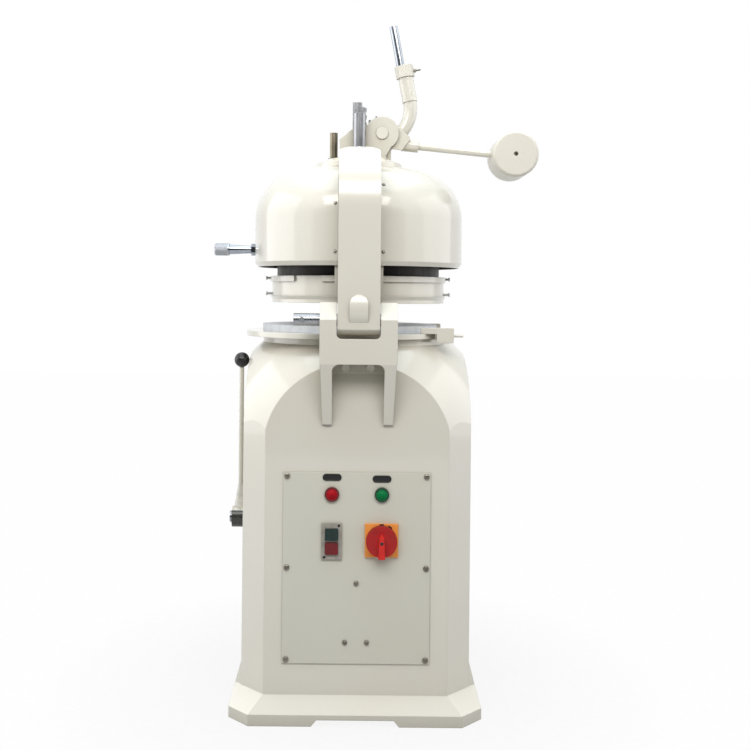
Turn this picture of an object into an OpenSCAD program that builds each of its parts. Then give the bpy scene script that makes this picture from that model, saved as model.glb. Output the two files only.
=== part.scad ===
// Divider rounder: a free-standing dough divider and rounder with a tilting press head.
// Millimetres, +X to the right and +Y away from the control panel side, +Z up, floor at Z = 0.

/* [Base] */
// Half depth of the body, front to back
body_half = 235; // [220:1:250]
// Distance that the body's sides are nearer than its front and back
side_in = 6; // [0:1:12]
// Size of the chamfer on the body's four corners
body_chamfer = 48; // [40:1:60]
// Height of the straight rim above the rounded shoulder
shoulder_lip = 11.9; // [8:0.1:16]
// Radius from the axis to the centre of the shoulder's arc
shoulder_centre_r = 32; // [25:1:40]
// Distance of the round rim under the table inside the body's sides
rim_in = 29; // [24:1:36]
// Height of the rim
rim_top = 746; // [735:1:760]
// Wall thickness of the body casting
wall = 8; // [6:1:12]
// Distance that the foot stands out at the left and right
foot_out_x = 15; // [10:1:25]
// Distance that the foot stands out at the front and back
foot_out_y = 30; // [20:1:40]
// Chamfer on the foot's corners
foot_chamfer = 42; // [35:1:55]
// Height of the foot's upright band
foot_band = 22; // [15:1:30]
// Height of the crease where the front flares into the foot
flare_z = 50; // [42:1:70]
// Height where the sides start to flare into the foot
side_flare_z = 100; // [80:5:130]
// Width of the recess between the foot's corner pads
notch_w = 171; // [140:1:200]
// Height of that recess
notch_h = 12.5; // [8:0.5:15]
// Depth of the deck below the rim
deck_drop = 44; // [42:1:50]
// Thickness of the deck
deck_t = 12; // [8:1:16]

/* [Control panel] */
// Width of the panel
panel_w = 290; // [270:1:310]
// Height of the panel
panel_h = 376; // [360:1:400]
// Thickness of the panel
panel_t = 2.5; // [1.5:0.5:4]
// Height of the panel's lower edge
panel_z = 112; // [105:1:125]
// Width of panel that laps over the window behind it
panel_lap = 20; // [16:1:24]
// Distance of the controls from the panel's centre line
control_x = 49; // [44:1:55]
// Distance of the pilot lamps below the panel's upper edge
lamp_drop = 43; // [40:1:60]
// Diameter of a pilot lamp's bezel
lamp_d = 28.6; // [26:0.2:30]
// Distance of the switches below the panel's upper edge
switch_drop = 135; // [130:1:150]
// Width of the push-button box
switch_w = 40; // [36:1:44]
// Height of the push-button box
switch_h = 71; // [66:1:76]
// Travel of a push button
button_travel = 4; // [3:0.5:4]
// Side of the isolator's square plate
isolator_s = 65; // [63:1:70]
// Diameter of the isolator's knob
isolator_d = 61; // [54:1:62]

/* [Hinge] */
// Width of the hinge bracket
bracket_w = 150; // [144:1:160]
// Distance that the bracket stands out from the body
bracket_depth = 55; // [53:1:60]
// Width of the slot between the bracket's prongs
slot_w = 85; // [84:0.5:88]
// Height of the hinge pin above the rim
pin_rise = 42; // [40:1:46]
// Distance of the hinge pin in front of the body's face
pin_stand = 29; // [27:1:30]
// Diameter of the hinge pin
pin_d = 24; // [20:1:26]
// Height of the prongs above the hinge pin
prong_rise = 34; // [30:1:38]
// Length of pin that sticks out at the left
pin_out = 51; // [40:1:60]

/* [Head] */
// Width of the arm
arm_w = 82; // [78:1:83]
// Thickness of the arm's column, front to back
arm_t = 73; // [60:1:76]
// Thickness of the arm's beam over the centre
beam_t = 53; // [48:1:60]
// Radius of the arm's outer bend
arm_bend_r = 129; // [115:1:135]
// Height of the arm's beam above the dome
arm_rise = 33; // [31:1:37]
// Distance of the dome inside the body's sides
dome_in = 9; // [4:1:13]
// Height of the dome's rim
dome_rim_z = 895; // [890:1:900]
// Height from the dome's rim to its top
dome_h = 210; // [204:1:214]
// Radius of the dome's shoulder
dome_corner_r = 106; // [100:1:110]
// Wall thickness of the dome
dome_t = 3; // [2:0.5:4]
// Radius of the arm's hub
hub_r = 70; // [69:1:74]
// Radius of the turret at its foot
turret_r = 98; // [94:1:104]
// Height of the turret
turret_h = 25; // [22:1:28]
// Height of the lock plunger above the dome's rim
lock_rise = 38; // [32:1:46]
// Travel of the lock plunger
lock_travel = 12; // [8:1:14]

/* [Press] */
// Distance of the cutter ring inside the body's sides
ring_in = 43; // [40:1:46]
// Height of the cutter ring
ring_h = 56; // [54:1:60]
// Gap between the ring and the dough plate with the head up
head_gap = 47; // [46.5:0.5:54]
// Distance of the drum inside the ring's outer face
drum_in = 15; // [12:1:18]
// Height of the drum
drum_h = 71; // [68:1:76]
// Number of dough pieces in the inner circle
inner_count = 5; // [4:1:6]
// Number of dough pieces in the middle circle
middle_count = 10; // [8:1:12]
// Number of dough pieces in the outer circle
outer_count = 15; // [13:1:17]
// Thickness of a knife
knife_t = 1.6; // [1.2:0.1:2]
// Travel of the knives inside the ring
knife_travel = 14; // [10:1:15]
// Diameter of a guide rod
rod_d = 27; // [24:1:28]
// Height of the guide rods above the arm's hub
rod_rise = 88; // [80:1:100]
// Height of the rack above the arm's hub
rack_rise = 119; // [110:1:130]
// Module of the rack and pinion
gear_module = 5; // [4.8:0.1:5.2]
// Number of teeth on the full pinion
pinion_teeth = 15; // [14:1:16]
// Height of the pinion above the arm's hub
pinion_rise = 49; // [48:1:54]

/* [Press lever] */
// Angle that the lever leans to the left of upright
lever_lean = 10.6; // [6:0.2:14]
// Angle that the elbow turns through
elbow_turn = 50; // [45:1:55]
// Radius of the elbow's bend
elbow_bend_r = 77; // [70:1:84]
// Diameter of the elbow's tube
elbow_d = 30; // [26:1:31]
// Diameter of the lever's sleeve
sleeve_d = 33; // [31:1:33]
// Length of the lever's sleeve
sleeve_l = 54; // [45:1:65]
// Height of the angular collar on the sleeve
collar_h = 26; // [22:1:32]
// Diameter of the handle bar
handle_d = 18; // [15:1:20]
// Length of handle bar above the collar
handle_l = 89; // [70:1:160]
// Angle that the counterweight's rod slopes down
weight_slope = 5.6; // [3:0.2:8]
// Distance from the socket's end to the counterweight's centre
weight_reach = 208; // [180:1:230]
// Diameter of the counterweight
weight_d = 98; // [85:1:105]
// Length of the counterweight
weight_l = 100; // [85:1:110]

/* [Table and drive] */
// Throw of the table's orbit
throw = 17; // [14:1:18]
// Distance of the table's edge inside the body's sides
table_in = 10; // [8:1:14]
// Thickness of the rounding table
table_t = 11; // [9:1:14]
// Distance of the dough plate's edge inside the body's sides
plate_in = 45; // [39:1:55]
// Thickness of the dough plate
plate_t = 14; // [10:1:16]
// Diameter of the main shaft
shaft_d = 34; // [30:1:36]
// Gap between the drive pulley and the motor's pulley
pulley_gap = 30; // [24:1:36]
// Radius of the motor pulley
motor_pulley_r = 30; // [28:1:34]
// Diameter of the motor
motor_d = 128; // [110:1:134]
// Length of the motor
motor_l = 194; // [160:1:210]

/* [Rounding lever] */
// Height of the rounding lever's pivot
lever_z = 360; // [350:1:370]
// Distance of the pivot in front of the main shaft
lever_y = 60; // [58:1:66]
// Length from the pivot to the ball's centre
lever_l = 335; // [320:1:360]
// Diameter of the lever's rod
lever_d = 10; // [9:0.5:14]
// Diameter of the ball knob
ball_d = 32; // [28:1:36]
// Diameter of the lever's shaft
lever_shaft_d = 16; // [14:1:18]

/* [Hidden] */
$fn = 48;
// Overrun of every cut past the face that it goes through
cut = 1;
// Radial clearance of a turning or sliding fit
fit = 0.05;
// Clearance between curved faces that don't touch
gap = 0.3;

// Body casting
face_y = -body_half;
side_half = body_half - side_in;
body_edge_half = side_half - body_chamfer;
body_corner_r = sqrt(body_half * body_half + body_edge_half * body_edge_half);
shoulder_margin = 3;
shoulder_r = body_corner_r + shoulder_margin - shoulder_centre_r;
rim_r = body_half - rim_in;
shoulder_round_top = rim_top - shoulder_lip;
shoulder_z = shoulder_round_top - sqrt(shoulder_r * shoulder_r - pow(rim_r - shoulder_centre_r, 2));
foot_half_x = body_half + foot_out_x;
foot_half_y = body_half + foot_out_y;
rim_wall = 8;
deck_z = rim_top - deck_drop;
window_half_w = panel_w / 2 - panel_lap;
notch_slope = 10.5;
flare_in = 0.5;

// Control panel
panel_front = face_y - panel_t;
panel_top = panel_z + panel_h;
panel_mid = panel_z + panel_h / 2;
screw_inset = 8;
screw_head_r = 6;
screw_head_h = 3;
screw_r = 2.5;
screw_l = 7;
small_screw_r = 5.2;
inner_screw_x = 21.5;
inner_screw_share = 0.42;
low_screw_rise = 42;
lamp_z = panel_top - lamp_drop;
lamp_r = 11;
bezel_h = 5;
lens_r = 10.8;
lens_h = 4;
lamp_body_l = 42;
lamp_nut_r = 15;
lamp_nut_h = 5;
switch_z = panel_top - switch_drop;
switch_lip = 4;
switch_body_w = 30;
switch_body_h = 60;
switch_body_l = 46;
button_w = 25;
button_h = 22.4;
button_pitch = 27.4;
button_proud = 4.5;
button_deep = 12;
button_clear = 0.4;
isolator_rise = 2.5;
isolator_z = switch_z + isolator_rise;
isolator_plate_t = 5;
isolator_knob_t = 12;
isolator_grip_w = 13;
isolator_grip_mid_w = 9;
isolator_grip_top = 18;
isolator_grip_t = 13;
isolator_grip_over = 0.5;
isolator_shaft_r = 5;
isolator_body_s = 56;
isolator_body_l = 48;
isolator_neck_r = 14;

// Hinge bracket
bracket_front = face_y - bracket_depth;
bracket_half = bracket_w / 2;
slot_half = slot_w / 2;
pin_y = face_y - pin_stand;
pin_z = rim_top + pin_rise;
prong_top = pin_z + prong_rise;
prong_clear = 11;
prong_back = face_y - prong_clear;
prong_bevel = 33;
prong_bevel_y = 28;
slot_rise = 6;
slot_floor = rim_top + slot_rise;
slot_corner_r = 10;
crossbar_h = 49;
crossbar_z = slot_floor - crossbar_h;
gusset_w = 23;
gusset_inset = 1.5;
gusset_h = 121;
gusset_z = crossbar_z - gusset_h;
gusset_tip = 6;
gusset_draft = 4;
gusset_in = bracket_half - gusset_inset - gusset_w;
gusset_corner_r = 12;
corner_ease = 2;
bracket_seat_drop = 1.5;
bracket_seat_top = rim_top - bracket_seat_drop;
bracket_reach = 23;
web_t = 10;
web_h = 20;
bolt_x = 24;
bolt_drop = 9;
bolt_head_r = 9;
bolt_head_h = 7;
bolt_r = 5;
pin_screw_r = 5;
pin_screw_h = 1.5;
pin_screw_in = 5;
pin_screw_inset = 16;

// Arm, hub and dome
knuckle_r = 30;
arm_cover = 24;
arm_front = pin_y - arm_cover;
arm_back = arm_front + arm_t;
dome_r = body_half - dome_in;
dome_top = dome_rim_z + dome_h;
arm_top = dome_top + arm_rise;
beam_z = arm_top - beam_t;
hub_drop = 25;
hub_bottom = beam_z - hub_drop;
bend_y = arm_front + arm_bend_r;
bend_z = arm_top - arm_bend_r;
inner_bend_r = arm_bend_r - arm_t;
crown_h = 13;
crown_drop = 0.5;
crown_r = (arm_w * arm_w / 4 + crown_h * crown_h) / (2 * crown_h);
crown_z = arm_top - crown_drop - crown_r;
flange_back = 6;
flange_half = 62;
flange_low_half = 48.5;
flange_t = 10;
flange_rise = 43;
flange_z = pin_z + flange_rise;
boss_half = 18;
boss_crown_r = 50;
boss_proud = 8;
boss_low = 4;
boss_high = 49;
arm_slot_half = arm_w / 2 + 1;
dome_corner_y = dome_r - dome_corner_r;
dome_corner_z = dome_top - dome_corner_r;
flange_clear = 5;
flange_bend_r = dome_corner_r - dome_t - flange_clear;
flange_bend_y = arm_back + flange_back + flange_bend_r;
dome_tuck = 6;
dome_tuck_h = 9;
hub_top = dome_top + turret_h;
turret_draft = 5;
turret_skirt_h = 16;
turret_lip = 3;
turret_top_r = hub_r + turret_lip;
dome_screw_x = 48;
dome_screw_low = 27;
dome_screw_left = 123;
dome_screw_right = 162;
dome_screw_r = 3.8;
dome_screw_h = 2.5;
dome_screw_l = 10;
dome_screw_shank_r = 2.5;
lock_z = dome_rim_z + lock_rise;
lock_nut_r = 10;
lock_nut_l = 9;
lock_sleeve_l = 48;
lock_sleeve_r = 10.8;
lock_sleeve_tip_r = 8.4;
lock_pin_r = 5;
lock_knob_r = 13.5;
lock_knob_l = 32;
lock_knob_bevel = 2.5;

// Press head
table_r = body_half - table_in;
plate_r = body_half - plate_in;
table_gap = 1;
table_z = rim_top + table_gap;
table_top = table_z + table_t;
plate_top = table_top + plate_t;
ring_r = body_half - ring_in;
drum_r = ring_r - drum_in;
ring_z = plate_top + head_gap;
ring_top = ring_z + ring_h;
ring_flange_top_h = 12;
ring_flange_low_h = 14;
ring_waist = 4;
ring_low_proud = 0.6;
ring_low_draft = 9;
ring_step = 1;
ring_bore_r = drum_r + ring_step;
ring_lip_h = 9;
ring_lip_w = 12;
ring_lip_r = drum_r - ring_lip_w;
ring_notch_x = -103;
ring_notch_w = 59;
ring_screw_r = 2.6;
ring_screw_head_r = 4;
ring_screw_head_l = 3;
ring_screw_l = 10;
ring_screw_top_share = 0.93;
ring_screw_low_share = 0.33;
drum_t = 9;
drum_top = ring_top + drum_h;
carrier_t = 12;
carrier_top = drum_top + carrier_t;
pad_recess = 12;
pad_t = 10;
pad_slot = 3.2;
pad_clear = 2;
pad_r = ring_bore_r - pad_clear;
pad_count = inner_count + middle_count + outer_count;
inner_r = pad_r * sqrt(inner_count / pad_count);
middle_r = pad_r * sqrt((inner_count + middle_count) / pad_count);
pad_z = ring_z + pad_recess;
stem_r = 5;
disc_clear = 3;
press_disc_r = ring_lip_r - disc_clear;
press_disc_t = 10;
press_disc_rise = 26;
press_disc_z = ring_top + press_disc_rise;
spacer_r = 8;
spacer_ring_r = 60;
knife_z = ring_z + knife_travel;
knife_carrier_z = ring_top - ring_lip_h - gap;
knife_carrier_t = 8;
stem_clear = 1;
knife_rod_r = 5;
knife_rod_clear = 10;
knife_rod_top = drum_top - knife_rod_clear;
rod_y = 50;
rod_r = rod_d / 2;
bush_t = 4.5;
rack_half_y = 15;
rack_back_x = -15;
rack_pitch_x = 11.5;
rack_clear = 0.2;
rack_top = arm_top + rack_rise;

// Rack and pinion
gear_pressure = 20;
gear_pitch_r = gear_module * pinion_teeth / 2;
gear_base_r = gear_pitch_r * cos(gear_pressure);
gear_tip_r = gear_pitch_r + gear_module;
gear_thick_share = 0.44;
rack_tip_share = 0.84;
gear_root_share = 1.25;
gear_root_r = gear_pitch_r - gear_root_share * gear_module;
rack_tip_x = rack_pitch_x + rack_tip_share * gear_module;
rack_teeth = 7;
rack_teeth_below = 3;
flank_steps = 5;
pinion_half = 14;
pinion_x = rack_pitch_x + gear_pitch_r;
pinion_z = arm_top + pinion_rise;
pinion_from = 95;
pinion_to = 225;
pinion_core_r = 24;
pinion_shaft_r = 13;
pinion_shaft_proud = 4;
cheek_y = 26;
cheek_t = 8;
cheek_lobe_r = 36;
cheek_left = -43;
cheek_shoulder_x = -17;
cheek_shoulder_share = 0.2;
cheek_low_share = 0.75;
cheek_right = 58;
seat_in = 3;
post_x = -56;
post_r = 8.5;
post_rise = 53;
post_flange_r = 13;
post_flange_h = 5;

// Press lever, in the plane lever_plane_y
lever_plane_y = -8;
elbow_end_x = 61;
elbow_end_z = 72;
lever_dir = 90 + lever_lean;
elbow_centre_x = pinion_x + elbow_end_x - elbow_bend_r * sin(lever_dir);
elbow_centre_z = pinion_z + elbow_end_z + elbow_bend_r * cos(lever_dir);
yoke_y = -25;
yoke_t = 10;
yoke_hub_r = 28;
yoke_deep = 33;
yoke_stub_l = 14;
socket_x = 80;
socket_z = -25;
socket_l = 36;
socket_d = 27;
web_in = 18;
weight_rod_r = 7.8;
weight_rod_in = 20;
weight_rim = 4;
weight_hole_r = 4.5;
weight_hole_l = 12;
collar_r = 20.5;
handle_in = 20;
handle_shift = 6.5;
wedge_x0 = 50;
wedge_x1 = 69;
wedge_gap = 0.6;
elbow_x = pinion_x + elbow_end_x;
elbow_z = pinion_z + elbow_end_z;
socket_end_x = pinion_x + socket_x;
socket_end_z = pinion_z + socket_z;
wedge_top = socket_end_z + (socket_end_x - wedge_x1) * tan(weight_slope)
  - socket_d / 2 / cos(weight_slope) - wedge_gap;
elbow_start_x = elbow_centre_x + elbow_bend_r * cos(lever_lean - elbow_turn);
elbow_start_z = elbow_centre_z + elbow_bend_r * sin(lever_lean - elbow_turn);

// Table, drive and motor
crank_disc_r = 42;
crank_disc_t = 12;
crank_rise = 14;
crank_disc_z = deck_z + crank_rise;
crank_top = crank_disc_z + crank_disc_t;
crank_pin_r = 12;
table_hub_r = 34;
table_boss_r = 18;
idler_in_x = 96;
idler_in_y = 106;
idler_x = rim_r - idler_in_x;
idler_y = rim_r - idler_in_y;
idler_r = 10;
idler_disc_r = 30;
idler_pin_r = 8;
idler_bush_r = 22;
idler_bush_l = 42;
bearing_r = 38;
bearing_flange_r = 58;
bearing_flange_h = 10;
bearing_l = 62;
bridge_z = 286;
bridge_h = 20;
bridge_half = 40;
bridge_boss_r = 34;
bridge_boss_h = 8;
bridge_bore_up = 6;
pulley_rise = 80;
pulley_z = lever_z + pulley_rise;
pulley_h = 30;
groove_half = 8;
groove_root_half = 5;
groove_deep = 14;
belt_out = 2;
belt_t = 9;
belt_half = 4.9;
belt_sag = 0.2;
collar_half = 20;
collar_out_r = 36;
collar_in_r = 26;
collar_groove_half = 7;
fork_pin_r = 5;
fork_arm_t = 8;
fork_arm_half = 9;
fork_gap = 6;
fork_tip = 9;
fork_pin_in = 1.5;
motor_plate_t = 10;
motor_plate_drop = 16;
motor_plate_z = pulley_z - motor_plate_drop;
motor_plate_half = 100;
motor_flange_lip = 10;
motor_flange_r = motor_d / 2 + motor_flange_lip;
motor_clear = 3;
motor_y = body_half - wall - motor_clear - motor_flange_r;
motor_plate_lead = 70;
motor_plate_front = motor_y - motor_plate_lead;
pulley_r = motor_y - motor_pulley_r - pulley_gap;
motor_flange_h = 8;
motor_shaft_r = 9.5;
motor_hole_r = 20;
motor_shaft_deep = 60;
bush_out_r = 14;
bush_l = 38;
hub_x = 1;
hub_l = 34;
hub_r2 = 22;
neck_low_r = 13;
neck_z = 24;
neck_l = 48;
rod_seat = 6;
ball_hole_l = 12;
hub_nut_r = 12;
hub_nut_l = 5;
block_in = 13;
block_l = 67;
block_w = 25;
block_in_y = 60;
block_x1 = table_r - block_in;
block_x0 = block_x1 - block_l;
block_y1 = table_r - block_in_y;
block_y0 = block_y1 - block_w;
block_clear = 0.8;
block_split = sqrt(table_r * table_r - block_y0 * block_y0) + block_clear;
block_drop = 7;
block_rise = 12;
block_screw_r = 3;
block_screw_l = 20;
block_screw_in = 10;
block_screw_z = 4;

// Paints and metals
cream = [0.93, 0.92, 0.88];
steel = [0.75, 0.76, 0.78];
dark_steel = [0.25, 0.25, 0.27];
bronze = [0.72, 0.55, 0.3];
black = [0.05, 0.05, 0.05];
red = [0.75, 0.08, 0.08];
green = [0.05, 0.45, 0.2];
orange = [0.95, 0.5, 0.1];
grey = [0.6, 0.6, 0.6];

// Solids along the axes and slabs from outlines in the XZ and YZ planes
module rod_x(r, x0, x1) translate([x0, 0, 0]) rotate([0, 90, 0]) cylinder(r = r, h = x1 - x0);

module rod_y(r, y0, y1) translate([0, y0, 0]) rotate([-90, 0, 0]) cylinder(r = r, h = y1 - y0);

module rod_z(r, z0, z1) translate([0, 0, z0]) cylinder(r = r, h = z1 - z0);

module block(x0, x1, y0, y1, z0, z1) translate([x0, y0, z0]) cube([x1 - x0, y1 - y0, z1 - z0]);

module slab_xz(y0, y1) translate([0, y1, 0]) rotate([90, 0, 0]) linear_extrude(y1 - y0) children();

module slab_yz(x0, x1) translate([x0, 0, 0]) rotate([90, 0, 90]) linear_extrude(x1 - x0) children();

module rect(x0, x1, y0, y1) translate([x0, y0]) square([x1 - x0, y1 - y0]);

module octagon(hx, hy, c)
  polygon([
    [hx, c - hy], [hx, hy - c], [hx - c, hy], [c - hx, hy],
    [-hx, hy - c], [-hx, c - hy], [c - hx, -hy], [hx - c, -hy]
  ]);

module trapezoid(half0, half1, z0, z1)
  polygon([[-half0, z0], [half0, z0], [half1, z1], [-half1, z1]]);

// Base casting: a chamfered square body under a round shoulder, flared into a four-pad foot
module body_round(grow, top) {
  rotate_extrude() {
    rect(0, shoulder_centre_r + shoulder_r + grow, 0, shoulder_z);
    intersection() {
      translate([shoulder_centre_r, shoulder_z]) circle(r = shoulder_r + grow);
      rect(0, shoulder_centre_r + shoulder_r + cut, shoulder_z, shoulder_round_top);
    }
    rect(0, rim_r + grow, 0, top);
  }
}

module body_outer()
  intersection() {
    linear_extrude(rim_top) octagon(side_half, body_half, body_chamfer);
    body_round(0, rim_top);
  }

module body_cavity()
  intersection() {
    translate([0, 0, -cut]) linear_extrude(deck_z - deck_t + cut)
      octagon(side_half - wall, body_half - wall, body_chamfer);
    translate([0, 0, -cut]) body_round(-wall, deck_z);
  }

module foot() {
  linear_extrude(foot_band) octagon(foot_half_x, foot_half_y, foot_chamfer);
  intersection() {
    slab_xz(-foot_half_y, foot_half_y) flare(foot_half_x, side_half, side_flare_z);
    slab_yz(-foot_half_x, foot_half_x) flare(foot_half_y, body_half, flare_z);
    corner_slab(45);
    corner_slab(-45);
  }
}

// A slope that runs on a little into the body, so that the two faces cross
module flare(half0, half1, z1) {
  rise = flare_in * (z1 - foot_band) / (half0 - half1);
  trapezoid(half0, half1 - flare_in, foot_band, z1 + rise);
  rect(flare_in - half1, half1 - flare_in, foot_band, side_flare_z + rise);
}

// The slab between two opposite corner chamfers of the flare
module corner_slab(turn) {
  corner_low = (foot_half_x + foot_half_y - foot_chamfer) / sqrt(2);
  corner_high = (side_half + body_half - body_chamfer) / sqrt(2);
  rotate([0, 0, turn]) slab_yz(-foot_half_x - foot_half_y, foot_half_x + foot_half_y)
    flare(corner_low, corner_high, flare_z);
}

module notch() trapezoid(notch_w / 2 + cut, notch_w / 2 - notch_slope, -cut, notch_h);

module idler_places()
  for (side = [-1, 1])
    translate([side * idler_x, idler_y, 0]) children();

module base_casting()
  color(cream) difference() {
    union() {
      difference() {
        union() {
          body_outer();
          foot();
        }
        body_cavity();
        translate([0, 0, deck_z]) cylinder(r = rim_r - rim_wall, h = deck_drop + cut);
      }
      idler_places() rod_z(idler_bush_r, deck_z - idler_bush_l, deck_z);
    }
    slab_xz(-foot_half_y - cut, foot_half_y + cut) notch();
    slab_yz(-foot_half_x - cut, foot_half_x + cut) notch();
    block(-window_half_w, window_half_w, face_y - cut, face_y + wall + cut,
      panel_z + panel_lap, panel_top - panel_lap);
    rod_z(bearing_r, deck_z - deck_t - cut, deck_z + cut);
    idler_places() rod_z(idler_r + fit, deck_z - idler_bush_l - cut, deck_z + cut);
    translate([0, -lever_y, lever_z]) rod_x(bush_out_r, -side_half - cut, -side_half + wall + cut);
    bolt_places() rod_y(bolt_r, -cut, web_t + wall + cut);
    panel_screw_places() rod_y(screw_r, -cut, wall + cut);
  }

// Control panel and what is fixed to it
module panel_screw_places()
  for (side = [-1, 1], z = [panel_z + screw_inset, panel_mid, panel_top - screw_inset])
    translate([side * (panel_w / 2 - screw_inset), face_y, z]) children();

module inner_screw_places() {
  translate([0, face_y, panel_z + inner_screw_share * panel_h]) children();
  for (side = [-1, 1])
    translate([side * inner_screw_x, face_y, panel_z + low_screw_rise]) children();
}

module lamp_places()
  for (side = [-1, 1]) translate([side * control_x, panel_front, lamp_z]) children();

module control_panel()
  color(cream) difference() {
    block(-panel_w / 2, panel_w / 2, panel_front, face_y, panel_z, panel_top);
    panel_screw_places() rod_y(screw_r, -panel_t - cut, cut);
    inner_screw_places() rod_y(screw_r, -panel_t - cut, cut);
    lamp_places() rod_y(lamp_r, -cut, panel_t + cut);
    translate([-control_x, panel_front, switch_z])
      block(-switch_body_w / 2, switch_body_w / 2, -cut, panel_t + cut, -switch_body_h / 2,
        switch_body_h / 2);
    translate([control_x, panel_front, isolator_z]) rod_y(isolator_neck_r, -cut, panel_t + cut);
  }

module dome_screw(head_r, head_h, shank_r, shank_l) {
  dome_screw_ball = (head_r * head_r + head_h * head_h) / (2 * head_h);
  intersection() {
    rod_y(head_r, -head_h, 0);
    translate([0, dome_screw_ball - head_h, 0]) sphere(r = dome_screw_ball);
  }
  rod_y(shank_r, -head_h / 2, shank_l);
}

module panel_screws()
  color(steel) {
    panel_screw_places() translate([0, -panel_t, 0])
      dome_screw(screw_head_r, screw_head_h, screw_r, screw_l);
    inner_screw_places() translate([0, -panel_t, 0])
      dome_screw(small_screw_r, screw_head_h, screw_r, screw_l);
  }

module pilot_lamps()
  color(grey) lamp_places() {
    difference() {
      rod_y(lamp_d / 2, -bezel_h, 0);
      rod_y(lens_r, -bezel_h - cut, -bezel_h + lens_h);
    }
    rod_y(lamp_r, 0, lamp_body_l);
    rod_y(lamp_nut_r, panel_t, panel_t + lamp_nut_h);
  }

module lamp_lens(side)
  translate([side * control_x, panel_front - bezel_h + lens_h, lamp_z])
    dome_screw(lens_r, lens_h + lens_h, lens_r, 0);

module red_lens() color(red) lamp_lens(-1);

module green_lens() color(green) lamp_lens(1);

module button_hole(side, grow)
  translate([-control_x, panel_front, switch_z + side * button_pitch / 2])
    block(-button_w / 2 - grow, button_w / 2 + grow, -switch_lip - button_proud, button_deep,
      -button_h / 2 - grow, button_h / 2 + grow);

module switch_box()
  color(grey) difference() {
    translate([-control_x, panel_front, switch_z]) {
      block(-switch_w / 2, switch_w / 2, -switch_lip, 0, -switch_h / 2, switch_h / 2);
      block(-switch_body_w / 2, switch_body_w / 2, 0, switch_body_l, -switch_body_h / 2, switch_body_h / 2);
    }
    for (side = [-1, 1])
      translate([0, button_travel + gap, 0]) button_hole(side, button_clear);
    for (side = [-1, 1]) button_hole(side, button_clear);
  }

module start_button() color(green) button_hole(1, 0);

module stop_button() color(red) button_hole(-1, 0);

module isolator_place() translate([control_x, panel_front, isolator_z]) children();

module isolator_plate()
  color(orange) isolator_place() difference() {
    block(-isolator_s / 2, isolator_s / 2, -isolator_plate_t, 0, -isolator_s / 2, isolator_s / 2);
    rod_y(isolator_shaft_r + fit, -isolator_plate_t - cut, cut);
  }

module isolator_body()
  color(dark_steel) isolator_place() difference() {
    union() {
      rod_y(isolator_neck_r, 0, panel_t);
      block(-isolator_body_s / 2, isolator_body_s / 2, panel_t, panel_t + isolator_body_l,
        -isolator_body_s / 2, isolator_body_s / 2);
    }
    rod_y(isolator_shaft_r + fit, -cut, isolator_body_l / 2);
  }

module isolator_knob()
  color(red) isolator_place() {
    rod_y(isolator_d / 2, -isolator_plate_t - gap - isolator_knob_t, -isolator_plate_t - gap);
    rod_y(isolator_shaft_r, -isolator_plate_t - isolator_knob_t / 2, isolator_body_l / 2 - gap);
    slab_xz(-isolator_plate_t - isolator_knob_t - isolator_grip_t, -isolator_plate_t - isolator_knob_t / 2)
      polygon([
        [-isolator_grip_w / 2, -isolator_d / 2 - isolator_grip_over],
          [isolator_grip_w / 2, -isolator_d / 2 - isolator_grip_over],
        [isolator_grip_mid_w / 2, isolator_grip_top / 2], [0, isolator_grip_top],
          [-isolator_grip_mid_w / 2, isolator_grip_top / 2]
      ]);
  }

// Hinge bracket: a clevis on two gusset legs
module bolt_places()
  for (side = [-1, 1])
    translate([side * bolt_x, face_y - web_t, crossbar_z - bolt_drop]) children();

module bracket_side()
  polygon([
    [bracket_front, crossbar_z], [bracket_front, prong_top - prong_bevel],
    [bracket_front + prong_bevel_y, prong_top], [prong_back, prong_top], [prong_back, bracket_seat_top],
    [face_y + bracket_reach, bracket_seat_top], [face_y + bracket_reach, crossbar_z - web_h],
    [face_y - web_t, crossbar_z - web_h], [face_y - web_t, crossbar_z]
  ]);

module gusset_side()
  polygon([
    [bracket_front, crossbar_z + cut], [bracket_front, crossbar_z],
    [face_y - gusset_tip, gusset_z], [face_y, gusset_z], [face_y, crossbar_z + cut]
  ]);

module gusset_front()
  polygon([
    [gusset_in - cut, crossbar_z + 2 * cut], [gusset_in + gusset_w, crossbar_z + 2 * cut],
    [gusset_in + gusset_w - gusset_draft, gusset_z - cut], [gusset_in - cut, gusset_z - cut]
  ]);

// The rounded corner between the crossbar and a gusset
module gusset_corner()
  difference() {
    rect(gusset_in - gusset_corner_r, gusset_in + cut, crossbar_z - gusset_corner_r, crossbar_z + cut);
    translate([gusset_in - gusset_corner_r - corner_ease, crossbar_z - gusset_corner_r - corner_ease])
      circle(r = sqrt(pow(corner_ease, 2) + pow(gusset_corner_r + corner_ease, 2)));
  }

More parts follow.
